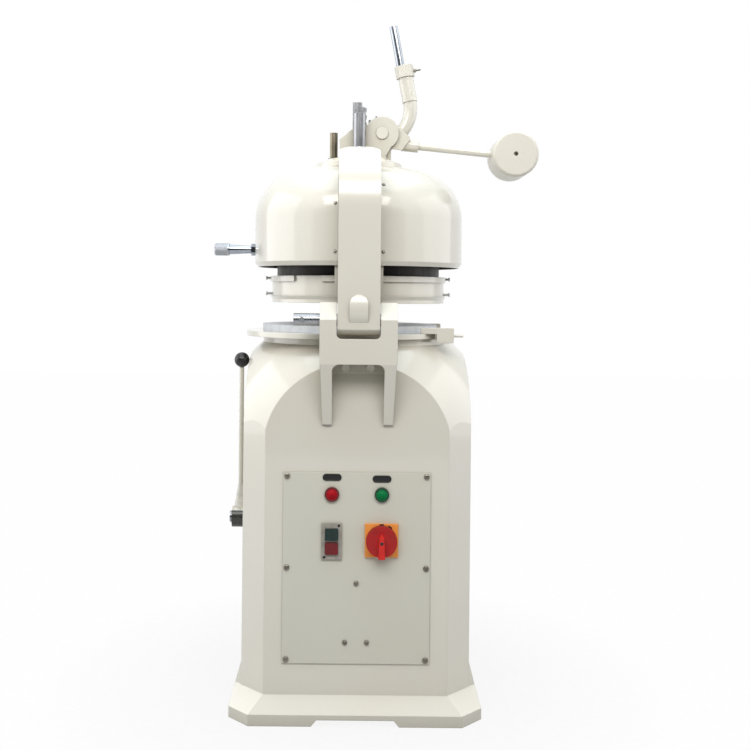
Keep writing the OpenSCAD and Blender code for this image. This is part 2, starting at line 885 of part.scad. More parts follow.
module hinge_bracket()
  color(cream) difference() {
    union() {
      slab_yz(-bracket_half, bracket_half) bracket_side();
      for (side = [0, 1]) mirror([side, 0, 0]) {
        intersection() {
          slab_yz(gusset_in, gusset_in + gusset_w + cut) gusset_side();
          slab_xz(bracket_front - cut, face_y + cut) gusset_front();
        }
        intersection() {
          slab_yz(gusset_in - gusset_corner_r - cut, gusset_in + cut) gusset_side();
          slab_xz(bracket_front - cut, face_y) gusset_corner();
        }
      }
    }
    block(-slot_half, slot_half, bracket_front - cut, prong_back + cut, slot_floor + slot_corner_r,
      prong_top + cut);
    block(-slot_half + slot_corner_r, slot_half - slot_corner_r, bracket_front - cut, prong_back + cut,
      slot_floor, prong_top + cut);
    for (side = [-1, 1])
      translate([side * (slot_half - slot_corner_r), 0, slot_floor + slot_corner_r])
        rod_y(slot_corner_r, bracket_front - cut, prong_back + cut);
    intersection() {
      linear_extrude(rim_top) octagon(side_half, body_half, body_chamfer);
      body_round(gap, rim_top);
    }
    translate([0, pin_y, pin_z]) rod_x(pin_d / 2, -bracket_half - cut, bracket_half + cut);
    bolt_places() rod_y(bolt_r, -cut, web_t + bracket_reach);
  }

// The hinge pin's screw sits in the pin's front, outside the left prong
module pin_screw_place()
  translate([-bracket_half - pin_out + pin_screw_inset, pin_y - pin_d / 2, pin_z]) children();

module bracket_bolts()
  color(steel) {
    bolt_places() {
      rotate([90, 0, 0]) cylinder(r = bolt_head_r, h = bolt_head_h, $fn = 6);
      rod_y(bolt_r, 0, web_t + wall);
    }
    pin_screw_place() rod_y(pin_screw_r, -pin_screw_h, pin_screw_in);
  }

module hinge_pin()
  color(steel) difference() {
    translate([0, pin_y, pin_z]) rod_x(pin_d / 2, -bracket_half - pin_out, bracket_half);
    pin_screw_place() rod_y(pin_screw_r, -cut, pin_screw_in);
  }

// Drive: main shaft in two bearings, motor and belt behind it
module main_bearing()
  color(dark_steel) difference() {
    union() {
      rod_z(bearing_r, deck_z - bearing_l, deck_z);
      rod_z(bearing_flange_r, deck_z, deck_z + bearing_flange_h);
    }
    rod_z(shaft_d / 2 + fit, deck_z - bearing_l - cut, deck_z + bearing_flange_h + cut);
  }

module lower_bridge()
  color(dark_steel) difference() {
    union() {
      block(wall - side_half, side_half - wall, -bridge_half, bridge_half, bridge_z, bridge_z + bridge_h);
      rod_z(bridge_boss_r, bridge_z, bridge_z + bridge_h + bridge_boss_h);
    }
    rod_z(shaft_d / 2 + fit, bridge_z + bridge_bore_up, bridge_z + bridge_h + bridge_boss_h + cut);
  }

module crank_shaft()
  color(steel) {
    rod_z(shaft_d / 2, bridge_z + bridge_bore_up + gap, crank_disc_z);
    rod_z(crank_disc_r, crank_disc_z, crank_top);
    translate([-throw, 0, 0]) rod_z(crank_pin_r, crank_top, table_top - gap);
  }

module pulley(r, bore_r)
  difference() {
    rod_z(r, pulley_z, pulley_z + pulley_h);
    translate([0, 0, pulley_z + pulley_h / 2]) rotate_extrude()
      polygon([
        [r - groove_deep, -groove_root_half], [r, -groove_half], [r + cut, -groove_half],
        [r + cut, groove_half], [r, groove_half], [r - groove_deep, groove_root_half]
      ]);
    rod_z(bore_r, pulley_z - cut, pulley_z + pulley_h + cut);
  }

module drive_pulley() color(dark_steel) pulley(pulley_r, shaft_d / 2);

// The belt's outline: two arcs and the straight runs between them, which sag a little
module belt_outline(drive_r, motor_r) {
  lean = asin((drive_r - motor_r) / motor_y);
  run = [cos(lean), sin(lean)];
  low = (drive_r - belt_sag) * run;
  high = (motor_r - belt_sag) * run + [0, motor_y];
  circle(r = drive_r);
  translate([0, motor_y]) circle(r = motor_r);
  polygon([low, high, [-high[0], high[1]], [-low[0], low[1]]]);
}

module v_belt()
  color(black) translate([0, 0, pulley_z + pulley_h / 2 - belt_half]) difference() {
    linear_extrude(2 * belt_half) belt_outline(pulley_r - belt_out, motor_pulley_r - belt_out);
    translate([0, 0, -cut]) linear_extrude(2 * belt_half + 2 * cut)
      belt_outline(pulley_r - belt_out - belt_t, motor_pulley_r - belt_out - belt_t);
  }

module motor()
  color(grey) translate([0, motor_y, 0]) difference() {
    union() {
      rod_z(motor_d / 2, motor_plate_z - motor_l, motor_plate_z);
      rod_z(motor_flange_r, motor_plate_z - motor_flange_h, motor_plate_z);
    }
    rod_z(motor_shaft_r + fit, motor_plate_z - motor_shaft_deep, motor_plate_z + cut);
  }

module motor_plate()
  color(dark_steel) difference() {
    block(-motor_plate_half, motor_plate_half, motor_plate_front, body_half - wall,
      motor_plate_z, motor_plate_z + motor_plate_t);
    translate([0, motor_y, 0]) rod_z(motor_hole_r, motor_plate_z - cut,
      motor_plate_z + motor_plate_t + cut);
  }

module motor_pulley()
  color(steel) translate([0, motor_y, 0]) {
    pulley(motor_pulley_r, 0);
    rod_z(motor_shaft_r, motor_plate_z - motor_shaft_deep + gap, pulley_z);
  }

module shift_collar()
  color(steel) difference() {
    rod_z(collar_out_r, lever_z - collar_half, lever_z + collar_half);
    difference() {
      rod_z(collar_out_r + cut, lever_z - collar_groove_half, lever_z + collar_groove_half);
      rod_z(collar_in_r, lever_z - collar_half, lever_z + collar_half);
    }
    rod_z(shaft_d / 2 + fit, lever_z - collar_half - cut, lever_z + collar_half + cut);
  }

module idler_crank(side)
  color(steel) translate([side * idler_x, idler_y, 0]) {
    rod_z(idler_r, deck_z - idler_bush_l, crank_disc_z);
    rod_z(idler_disc_r, crank_disc_z, crank_top);
    translate([-throw, 0, 0]) rod_z(idler_pin_r, crank_top, table_top - gap);
  }

module idler_crank_left() idler_crank(-1);

module idler_crank_right() idler_crank(1);

// Rounding table on the crank's pin, with the dough plate on it
module rounding_table()
  color(cream) translate([-throw, 0, 0]) difference() {
    union() {
      rod_z(table_r, table_z, table_top);
      rod_z(table_hub_r, crank_top + gap, table_z);
      idler_places() rod_z(table_boss_r, crank_top + gap, table_z);
    }
    rod_z(crank_pin_r + fit, crank_top, table_top + cut);
    idler_places() rod_z(idler_pin_r + fit, crank_top, table_top + cut);
  }

module block_places()
  for (side = [0, 1]) mirror([0, side, 0]) translate([-throw, 0, 0]) children();

module stop_blocks()
  color(cream) block_places() {
    difference() {
      union() {
        block(block_x0, block_x1, -block_y1, -block_y0, table_top, table_top + block_rise);
        block(block_split, block_x1, -block_y1, -block_y0, table_z - block_drop, table_top);
      }
      translate([0, -(block_y0 + block_y1) / 2, table_top - block_screw_z])
        rod_x(block_screw_r, block_x1 - block_screw_in, block_x1 + cut);
    }
    translate([0, -(block_y0 + block_y1) / 2, table_top - block_screw_z])
      rod_x(block_screw_r, block_x1 - block_screw_in, block_x1 + block_screw_l);
  }

module dough_plate() color([0.8, 0.85, 0.92]) translate([-throw, 0, 0])
  rod_z(plate_r, table_top, plate_top);

// Rounding lever on the left wall, its shaft and the fork inside
module lever_place() translate([0, -lever_y, lever_z]) children();

module lever_bush()
  color(bronze) lever_place() difference() {
    rod_x(bush_out_r, -side_half, -side_half + bush_l);
    rod_x(lever_shaft_d / 2 + fit, -side_half - cut, -side_half + bush_l + cut);
  }

module lever_hub()
  color(cream) lever_place() difference() {
    union() {
      rod_x(hub_r2, -side_half - hub_x - hub_l, -side_half - hub_x);
      translate([-side_half - hub_x - hub_l / 2, 0, 0]) {
        rod_z(neck_low_r, 0, neck_z);
        translate([0, 0, neck_z]) cylinder(r1 = neck_low_r, r2 = lever_d / 2, h = neck_l);
      }
    }
    rod_x(lever_shaft_d / 2, -side_half - hub_x - hub_l - cut, -side_half);
    translate([-side_half - hub_x - hub_l / 2, 0, 0])
      rod_z(lever_d / 2 - cut, neck_z + rod_seat, neck_z + neck_l + cut);
  }

module lever_rod()
  color(steel) lever_place() translate([-side_half - hub_x - hub_l / 2, 0, 0]) {
    rod_z(lever_d / 2 - cut, neck_z + rod_seat, neck_z + neck_l);
    rod_z(lever_d / 2, neck_z + neck_l, lever_l - ball_d / 2);
    rod_z(lever_d / 2 - cut, lever_l - ball_d / 2, lever_l - ball_d / 2 + ball_hole_l);
  }

module ball_knob()
  color(black) lever_place() translate([-side_half - hub_x - hub_l / 2, 0, lever_l]) difference() {
    sphere(r = ball_d / 2);
    rod_z(lever_d / 2 + gap, -ball_d, -ball_d / 2 + gap);
    rod_z(lever_d / 2 - cut, -ball_d, -ball_d / 2 + ball_hole_l);
  }

module shift_fork()
  color(steel) {
    arm_x = collar_out_r + fork_gap;
    lever_place() rod_x(lever_shaft_d / 2, -side_half - hub_x - hub_l - hub_nut_l, arm_x + fork_arm_t);
    lever_place() translate([-side_half - hub_x - hub_l, 0, 0]) rod_x(hub_nut_r, -hub_nut_l, 0);
    for (side = [0, 1]) mirror([side, 0, 0]) {
      block(arm_x, arm_x + fork_arm_t, -lever_y, fork_tip, lever_z - fork_arm_half,
        lever_z + fork_arm_half);
      translate([0, 0, lever_z]) rod_x(fork_pin_r, collar_in_r + fork_pin_in, arm_x);
    }
  }

// Head: the arm with its hub, the dome over the press and what is fixed to them
module quarter(y, z, r)
  intersection() {
    translate([y, z]) circle(r = r);
    rect(y - r, y, z, z + r);
  }

module arm_side() {
  difference() {
    union() {
      rect(arm_front, arm_back, pin_z, bend_z);
      quarter(bend_y, bend_z, arm_bend_r);
      rect(bend_y, 0, beam_z, arm_top);
    }
    rect(arm_back, bend_y, bend_z, beam_z - inner_bend_r);
    quarter(bend_y, beam_z - inner_bend_r, inner_bend_r);
  }
  intersection() {
    translate([pin_y, pin_z]) circle(r = knuckle_r);
    rect(arm_front, arm_back, pin_z - knuckle_r - cut, pin_z + knuckle_r);
  }
}

module flange_side(low) {
  difference() {
    quarter(flange_bend_y, dome_corner_z, flange_bend_r);
    translate([flange_bend_y, dome_corner_z]) circle(r = flange_bend_r - flange_t);
  }
  rect(flange_bend_y - flange_bend_r, flange_bend_y - flange_bend_r + flange_t, low, dome_corner_z);
}

module rod_places() for (side = [-1, 1]) translate([0, side * rod_y, 0]) children();

module head_arm()
  color(cream) difference() {
    union() {
      intersection() {
        slab_yz(-arm_w / 2, arm_w / 2) arm_side();
        slab_xz(arm_front - cut, cut) {
          rect(-arm_w, arm_w, pin_z - arm_t, crown_z);
          translate([0, crown_z]) circle(r = crown_r);
        }
      }
      slab_yz(-flange_half, flange_half) flange_side(dome_rim_z + dome_tuck_h);
      slab_yz(-flange_low_half, flange_low_half) flange_side(flange_z);
      rod_z(hub_r, hub_bottom, hub_top);
      block(cheek_left + seat_in, cheek_right, -cheek_y - cheek_t, cheek_y + cheek_t, hub_top - cut, arm_top);
      intersection() {
        union() {
          block(-boss_half, boss_half, arm_front - boss_proud, arm_front + boss_proud, pin_z - boss_low,
            pin_z + boss_high - boss_half);
          translate([0, 0, pin_z + boss_high - boss_half])
            rod_y(boss_half, arm_front - boss_proud, arm_front + boss_proud);
        }
        translate([0, arm_front - boss_proud + boss_crown_r, pin_z + (boss_high - boss_low) / 2])
          rod_x(boss_crown_r, -boss_half - cut, boss_half + cut);
      }
      block(wedge_x0, wedge_x1, yoke_y, -pinion_half - gap, hub_top + gap, wedge_top);
    }
    translate([0, pin_y, pin_z]) rod_x(pin_d / 2 + fit, -arm_w, arm_w);
    rod_places() rod_z(rod_r + bush_t, hub_bottom - cut, arm_top + cut);
    block(rack_back_x - rack_clear, rack_tip_x + rack_clear, -rack_half_y - rack_clear,
      rack_half_y + rack_clear,
      hub_bottom - cut, arm_top + cut);
  }

module dome_solid(shrink, low)
  rotate_extrude() {
    rect(0, dome_r - shrink, low + dome_tuck_h, dome_corner_z);
    polygon([
      [0, low], [dome_r - shrink - dome_tuck, low], [dome_r - shrink, low + dome_tuck_h],
        [0, low + dome_tuck_h]
    ]);
    rect(0, dome_corner_y, dome_rim_z, dome_top - shrink);
    intersection() {
      translate([dome_corner_y, dome_corner_z]) circle(r = dome_corner_r - shrink);
      rect(0, dome_r, dome_corner_z, dome_top);
    }
  }

module dome_cover()
  color(cream) difference() {
    dome_solid(0, dome_rim_z);
    dome_solid(dome_t, dome_rim_z - cut);
    block(-arm_slot_half, arm_slot_half, -dome_r - cut, 0, dome_rim_z - cut, dome_top + cut);
    rod_z(hub_r + gap, dome_rim_z, dome_top + cut);
    translate([0, 0, lock_z]) rod_x(lock_nut_r + gap, -dome_r - cut, -dome_r / 2);
    dome_screw_places() rod_y(dome_screw_shank_r, -cut - dome_screw_h, dome_screw_l);
  }

// A place on the dome at a height above its rim, facing out, with +Y going in
module on_dome(x, rise) {
  z = dome_rim_z + rise;
  up = max(0, z - dome_corner_z);
  tilt = asin(up / dome_corner_r);
  radius = dome_corner_y + dome_corner_r * cos(tilt);
  side = asin(x / radius);
  rotate([0, 0, side]) translate([0, -radius, z]) rotate([-tilt, 0, 0]) children();
}

module dome_screw_places() {
  on_dome(-dome_screw_x, dome_screw_low) children();
  on_dome(dome_screw_x, dome_screw_low) children();
  on_dome(-dome_screw_x, dome_screw_left) children();
  on_dome(dome_screw_x, dome_screw_right) children();
}

module dome_screws()
  color(steel) dome_screw_places() dome_screw(dome_screw_r, dome_screw_h, dome_screw_shank_r, dome_t + gap);

module turret()
  color(cream) difference() {
    rotate_extrude() polygon([
      [hub_r + gap, dome_top], [turret_r, dome_top], [turret_r - turret_draft, dome_top + turret_skirt_h],
      [turret_top_r, hub_top], [hub_r + gap, hub_top]
    ]);
    block(-arm_slot_half, arm_slot_half, -turret_r - cut, 0, dome_top - cut, hub_top + cut);
  }

module guide_bushes()
  color(bronze) rod_places() difference() {
    rod_z(rod_r + bush_t, hub_bottom, arm_top);
    rod_z(rod_r + fit, hub_bottom - cut, arm_top + cut);
  }

module cheek()
  difference() {
    union() {
      polygon([
        [cheek_left, arm_top], [cheek_right, arm_top], [pinion_x + cheek_lobe_r, pinion_z],
        [pinion_x, pinion_z + cheek_lobe_r * cheek_low_share],
        [cheek_shoulder_x, pinion_z + cheek_lobe_r * cheek_shoulder_share],
        [cheek_left, pinion_z - cheek_lobe_r * cheek_shoulder_share * 2]
      ]);
      translate([pinion_x, pinion_z]) circle(r = cheek_lobe_r);
    }
    translate([pinion_x, pinion_z]) circle(r = pinion_shaft_r + fit);
  }

module cheek_plates()
  color(cream) {
    slab_xz(-cheek_y - cheek_t, -cheek_y) cheek();
    slab_xz(cheek_y, cheek_y + cheek_t) cheek();
  }

module stud_post()
  color(steel) translate([post_x, 0, 0]) {
    rod_z(post_flange_r, hub_top, hub_top + post_flange_h);
    rod_z(post_r, hub_top + post_flange_h, arm_top + post_rise);
  }

module lock_place() translate([-dome_r, 0, lock_z]) children();

module lock_sleeve()
  color(steel) lock_place() difference() {
    union() {
      rotate([0, 90, 0]) translate([0, 0, -lock_nut_l])
        cylinder(r = lock_nut_r + dome_t, h = lock_nut_l, $fn = 6);
      rod_x(lock_nut_r, 0, dome_t + lock_nut_l);
      translate([-lock_nut_l, 0, 0]) rotate([0, -90, 0])
        cylinder(r1 = lock_sleeve_tip_r, r2 = lock_sleeve_r, h = lock_sleeve_l);
    }
    rod_x(lock_pin_r + fit, -lock_nut_l - lock_sleeve_l - cut, dome_t + lock_nut_l + cut);
  }

module lock_knob()
  color(steel) lock_place() {
    translate([-lock_nut_l - lock_sleeve_l - gap - lock_knob_l, 0, 0]) rotate([0, 90, 0]) {
      cylinder(r1 = lock_knob_r - lock_knob_bevel, r2 = lock_knob_r, h = lock_knob_bevel);
      translate([0, 0, lock_knob_bevel]) cylinder(r = lock_knob_r, h = lock_knob_l - lock_knob_bevel);
    }
    rod_x(lock_pin_r, -lock_nut_l - lock_sleeve_l - gap, dome_t + lock_nut_l + lock_travel);
  }

// Press: rack and rods above, drum, ring and pads below, knives between the pads
module rack_outline() {
  flank = tan(gear_pressure);
  pitch = PI * gear_module;
  half = pitch * gear_thick_share / 2;
  tip = rack_tip_share * gear_module;
  root = gear_root_share * gear_module;
  start = pinion_z - pitch * rack_teeth_below;
  polygon(concat(
    [[rack_back_x, carrier_top], [rack_pitch_x - root, carrier_top]],
    [for (i = [0:rack_teeth - 1], p = [[-root, -half - root * flank], [tip, -half + tip * flank],
      [tip, half - tip * flank], [-root, half + root * flank]])
      [rack_pitch_x + p.x, start + pitch * (i + 1 / 2) + p.y]],
    [[rack_pitch_x - root, rack_top], [rack_back_x, rack_top]]
  ));
}

module rack() color(steel) slab_xz(-rack_half_y, rack_half_y) rack_outline();

module guide_rods() color(steel) rod_places() rod_z(rod_r, carrier_top, arm_top + rod_rise);

module drum()
  color(dark_steel) {
    difference() {
      rod_z(drum_r, ring_top, drum_top);
      rod_z(drum_r - drum_t, ring_top - cut, drum_top + cut);
    }
    rod_z(drum_r, drum_top, carrier_top);
  }

module knife_rod_places()
  for (turn = [0:120:240]) rotate([0, 0, turn]) translate([0, inner_r, 0]) children();

module press_disc()
  color(steel) {
    difference() {
      rod_z(press_disc_r, press_disc_z, press_disc_z + press_disc_t);
      knife_rod_places() rod_z(knife_rod_r + fit, press_disc_z - cut, press_disc_z + press_disc_t + cut);
    }
    for (turn = [0:120:240])
      rotate([0, 0, turn]) translate([0, -spacer_ring_r, 0])
        rod_z(spacer_r, press_disc_z + press_disc_t, drum_top);
  }

module cutter_ring()
  color(cream) difference() {
    union() {
      rod_z(ring_r - ring_waist, ring_z, ring_top);
      rod_z(ring_r, ring_top - ring_flange_top_h, ring_top);
      translate([0, 0, ring_z])
        cylinder(r1 = ring_r - ring_low_draft, r2 = ring_r + ring_low_proud, h = ring_flange_low_h);
    }
    rod_z(ring_bore_r, ring_z - cut, ring_top - ring_lip_h);
    rod_z(ring_lip_r, ring_z, ring_top + cut);
    difference() {
      block(ring_notch_x - ring_notch_w / 2, ring_notch_x + ring_notch_w / 2, -ring_r - cut, 0,
        ring_top - ring_flange_top_h, ring_top + cut);
      rod_z(ring_r - ring_waist, ring_z, ring_top + cut);
    }
  }

module ring_screw(from) {
  rod_x(ring_screw_r, from, ring_r + ring_screw_l);
  rod_x(ring_screw_head_r, ring_r + ring_screw_l - ring_screw_head_l, ring_r + ring_screw_l);
}

module ring_screws()
  color(steel)
    for (side = [0, 1]) mirror([side, 0, 0]) {
      translate([0, 0, ring_z + ring_screw_low_share * ring_h]) ring_screw(ring_r - ring_waist);
      translate([0, 0, ring_z + ring_screw_top_share * ring_h]) ring_screw(ring_r);
    }

// The three circles of dough pieces: inner radius, outer radius, count and half a turn's offset
CIRCLES = [[0, inner_r, inner_count], [inner_r, middle_r, middle_count], [middle_r, pad_r, outer_count]];

module radial_walls(t, z0, z1, grow)
  for (c = CIRCLES, i = [0:c[2] - 1])
    rotate([0, 0, 360 / c[2] * i]) block(c[0] - grow * sign(c[0]), c[1] + grow, -t / 2, t / 2, z0, z1);

module ring_walls(t, z0, z1)
  for (r = [inner_r, middle_r])
    difference() {
      rod_z(r + t / 2, z0, z1);
      rod_z(r - t / 2, z0 - cut, z1 + cut);
    }

module stem_places()
  for (c = CIRCLES, i = [0:c[2] - 1])
    rotate([0, 0, 360 / c[2] * (i + 1 / 2)]) translate([(c[0] + c[1]) / 2, 0, 0]) children();

module press_pads()
  color(grey) {
    difference() {
      rod_z(pad_r, pad_z, pad_z + pad_t);
      radial_walls(pad_slot, pad_z - cut, pad_z + pad_t + cut, cut);
      ring_walls(pad_slot, pad_z - cut, pad_z + pad_t + cut);
    }
    stem_places() rod_z(stem_r, pad_z + pad_t / 2, press_disc_z);
  }

module knife_set()
  color(steel) {
    radial_walls(knife_t, knife_z, knife_carrier_z, 0);
    ring_walls(knife_t, knife_z, knife_carrier_z);
    difference() {
      rod_z(press_disc_r, knife_carrier_z, knife_carrier_z + knife_carrier_t);
      stem_places() rod_z(stem_r + stem_clear, knife_carrier_z - cut,
        knife_carrier_z + knife_carrier_t + cut);
    }
    knife_rod_places() rod_z(knife_rod_r, knife_carrier_z + knife_carrier_t, knife_rod_top);
  }

// Press lever: pinion on its shaft, yoke, elbow, sleeve, handle and counterweight
function involute(r) = tan(acos(gear_base_r / r)) * 180 / PI - acos(gear_base_r / r);

function half_tooth(r) = 180 * gear_thick_share / pinion_teeth + involute(gear_pitch_r)
  - involute(max(r, gear_base_r));

function flank_r(i) = gear_base_r + (gear_tip_r - gear_base_r) * i / flank_steps;

module pinion_outline() {
  up = concat([gear_root_r], [for (i = [0:flank_steps]) flank_r(i)]);
  polygon([
    for (tooth = [0:pinion_teeth - 1], side = [-1, 1], i = [0:flank_steps + 1])
      let (r = side < 0 ? up[i] : up[flank_steps + 1 - i],
        turn = 180 + 360 / pinion_teeth * tooth + side * half_tooth(r))
        r * [cos(turn), sin(turn)]
  ]);
}

module pinion()
  color(steel) translate([pinion_x, 0, pinion_z]) {
    slab_xz(-pinion_half, pinion_half) {
      intersection() {
        pinion_outline();
        polygon(concat([[0, 0]], [for (i = [0:4])
          let (turn = pinion_from + (pinion_to - pinion_from) * i / 4)
            2 * gear_tip_r * [cos(turn), sin(turn)]]));
      }
      circle(r = pinion_core_r);
    }
    rod_y(pinion_shaft_r, -cheek_y - cheek_t - pinion_shaft_proud, cheek_y + cheek_t + pinion_shaft_proud);
  }

// A place on the lever's axis, at a distance past the elbow, with +Z along the lever
module on_lever(along)
  translate([elbow_x, lever_plane_y, elbow_z]) rotate([0, -lever_lean, 0]) translate([0, 0, along])
    children();

// A place on the counterweight rod's axis, at a distance past the socket's end, with +X along the rod
module on_rod(along)
  translate([socket_end_x, lever_plane_y, socket_end_z]) rotate([0, weight_slope, 0])
    translate([along, 0, 0]) children();

// The turn's place on the elbow's bend
module at_elbow_start()
  translate([elbow_centre_x, lever_plane_y, elbow_centre_z]) rotate([90, 0, 0])
    rotate([0, 0, lever_lean - elbow_turn])
    translate([elbow_bend_r, 0, 0]) rotate([90, 0, 0]) children();

module lever_yoke()
  color(cream) difference() {
    union() {
      translate([pinion_x, 0, pinion_z]) rod_y(yoke_hub_r, yoke_y, yoke_y + yoke_t);
      slab_xz(yoke_y, yoke_y + yoke_t) polygon([
        [pinion_x, pinion_z + yoke_hub_r], [elbow_start_x, elbow_start_z],
        [socket_end_x - socket_l, socket_end_z - socket_d / 2 + socket_l * sin(weight_slope)],
        [wedge_x1, wedge_top + wedge_gap + gap], [pinion_x, pinion_z - yoke_hub_r]
      ]);
      intersection() {
        slab_xz(yoke_y, yoke_y + yoke_deep) polygon([
          [elbow_start_x, elbow_start_z], [elbow_start_x + elbow_d / 2, elbow_start_z - elbow_d / 2],
          [socket_end_x - web_in, socket_end_z + socket_d / 2],
          [socket_end_x - socket_l, socket_end_z - socket_d / 2 + socket_l * sin(weight_slope)],
          [pinion_x + pinion_core_r + yoke_t, pinion_z]
        ]);
        block(pinion_x + pinion_core_r + gap, socket_end_x, yoke_y, yoke_y + yoke_deep, arm_top,
          pinion_z + gear_tip_r);
      }
      at_elbow_start() cylinder(r = elbow_d / 2, h = yoke_stub_l);
      on_rod(-socket_l) rod_x(socket_d / 2, 0, socket_l);
    }
    translate([pinion_x, 0, pinion_z]) rod_y(pinion_shaft_r, yoke_y - cut, yoke_y + yoke_deep);
    on_rod(0) rod_x(weight_rod_r, -weight_rod_in, cut);
  }

module lever_elbow()
  color(cream) translate([elbow_centre_x, lever_plane_y, elbow_centre_z]) rotate([90, 0, 0])
    rotate([0, 0, lever_lean - elbow_turn]) rotate_extrude(angle = elbow_turn)
      translate([elbow_bend_r, 0]) circle(r = elbow_d / 2);

module lever_sleeve() color(cream) on_lever(0) cylinder(r = sleeve_d / 2, h = sleeve_l);

module lever_collar()
  color(cream) on_lever(sleeve_l) difference() {
    cylinder(r = collar_r, h = collar_h, $fn = 8);
    translate([-handle_shift, 0, collar_h - handle_in]) cylinder(r = handle_d / 2, h = handle_in + cut);
  }

module handle_bar()
  color(steel) on_lever(sleeve_l + collar_h - handle_in) translate([-handle_shift, 0, 0])
    cylinder(r = handle_d / 2, h = handle_in + handle_l);

module counterweight_rod()
  color(cream) on_rod(0) rod_x(weight_rod_r, -weight_rod_in, weight_reach - weight_d / 2 + weight_rod_in);

module counterweight()
  color(cream) difference() {
    on_rod(weight_reach) rotate([-90, 0, 0]) rotate_extrude() polygon([
      [0, -weight_l / 2], [weight_d / 2 - weight_rim, -weight_l / 2],
      [weight_d / 2, -weight_l / 2 + weight_rim], [weight_d / 2, weight_l / 2 - weight_rim],
      [weight_d / 2 - weight_rim, weight_l / 2], [0, weight_l / 2]
    ]);
    on_rod(weight_reach) rod_y(weight_hole_r, -weight_l / 2 - cut, -weight_l / 2 + weight_hole_l);
    on_rod(0) rod_x(weight_rod_r, 0, weight_reach - weight_d / 2 + weight_rod_in);
  }

base_casting();
control_panel();
panel_screws();
pilot_lamps();
red_lens();
green_lens();
switch_box();
start_button();
stop_button();
isolator_plate();
isolator_body();
isolator_knob();
hinge_bracket();
bracket_bolts();
hinge_pin();
main_bearing();
lower_bridge();
motor();
motor_plate();
motor_pulley();
v_belt();
crank_shaft();
drive_pulley();
shift_collar();
idler_crank_left();
idler_crank_right();
rounding_table();
stop_blocks();
dough_plate();
lever_bush();
lever_hub();
lever_rod();
ball_knob();
shift_fork();
head_arm();
dome_cover();
dome_screws();
turret();
guide_bushes();
cheek_plates();
stud_post();
lock_sleeve();
lock_knob();
rack();
guide_rods();
drum();
press_disc();
cutter_ring();
ring_screws();
press_pads();
knife_set();
pinion();
lever_yoke();
lever_elbow();
lever_sleeve();
lever_collar();
handle_bar();
counterweight_rod();
counterweight();
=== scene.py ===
"""Looks of the divider rounder: finishes for the CAD nodes, small fittings, light, floor and camera."""

import math

import bmesh
import bpy
from mathutils import Matrix, Vector


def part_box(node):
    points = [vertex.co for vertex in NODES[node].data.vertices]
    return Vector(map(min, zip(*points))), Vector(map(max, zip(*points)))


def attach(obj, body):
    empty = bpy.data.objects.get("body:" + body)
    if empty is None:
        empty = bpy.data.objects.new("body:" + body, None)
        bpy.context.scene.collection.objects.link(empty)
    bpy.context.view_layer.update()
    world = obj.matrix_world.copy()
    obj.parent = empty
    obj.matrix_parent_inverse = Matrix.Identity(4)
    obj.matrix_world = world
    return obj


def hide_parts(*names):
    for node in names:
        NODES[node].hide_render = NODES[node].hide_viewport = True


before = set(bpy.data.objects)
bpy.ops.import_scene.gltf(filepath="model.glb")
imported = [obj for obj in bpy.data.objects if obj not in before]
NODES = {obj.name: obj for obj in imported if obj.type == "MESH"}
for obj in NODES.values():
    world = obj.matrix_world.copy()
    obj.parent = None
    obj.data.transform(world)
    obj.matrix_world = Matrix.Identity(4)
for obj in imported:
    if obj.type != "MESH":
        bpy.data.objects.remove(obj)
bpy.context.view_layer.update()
MM = 0.001

# The photograph's frame and view
IMAGE_PX = 750
FOCAL_PX = 1000
SENSOR_MM = 36
CAMERA_AT = Vector((-0.018, -2.2, 0.842))
CAMERA_ROLL = math.radians(0.55)
AXIS_PX = 349.7
HORIZON_PX = 292


